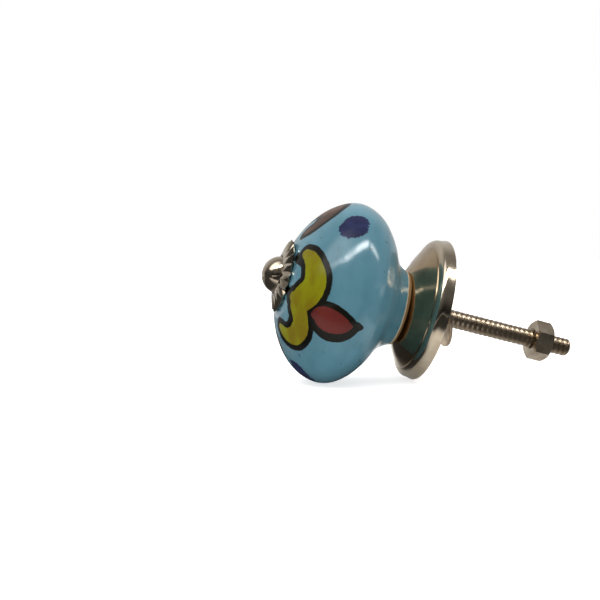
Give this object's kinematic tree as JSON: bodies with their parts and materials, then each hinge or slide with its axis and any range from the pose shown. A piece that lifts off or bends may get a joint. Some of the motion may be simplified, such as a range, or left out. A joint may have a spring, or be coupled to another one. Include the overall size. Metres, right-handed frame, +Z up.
{
  "type": "cabinet knob",
  "caption": "Painted ceramic cabinet knob with a pleated metal cap, a stepped metal backplate and a long through screw with a loose washer and a nut.",
  "frame": {"origin": "centre of the backplate's back edge, on the face that meets the door", "axes": "+Y along the screw, from the knob towards the back of the door; the knob stands out towards -Y; +Z up"},
  "size_m": [0.04, 0.0721, 0.04],
  "materials": {
    "glazed_ceramic": "glossy turquoise glaze with painted scrolls, leaves and dots",
    "plated_pressing": "warm bright nickel",
    "plated_screw": "warm bright nickel, dull in the thread",
    "plated_rosette": "polished warm nickel",
    "plated_washer": "plain warm nickel",
    "plated_nut": "bright nickel"
  },
  "bodies": {
    "root": {"ceramic_body": "glazed_ceramic", "front_cap": "plated_pressing", "screw": "plated_screw", "backplate": "plated_rosette", "flat_washer": "plated_washer", "hex_nut": "plated_nut"}
  },
  "joints": []
}
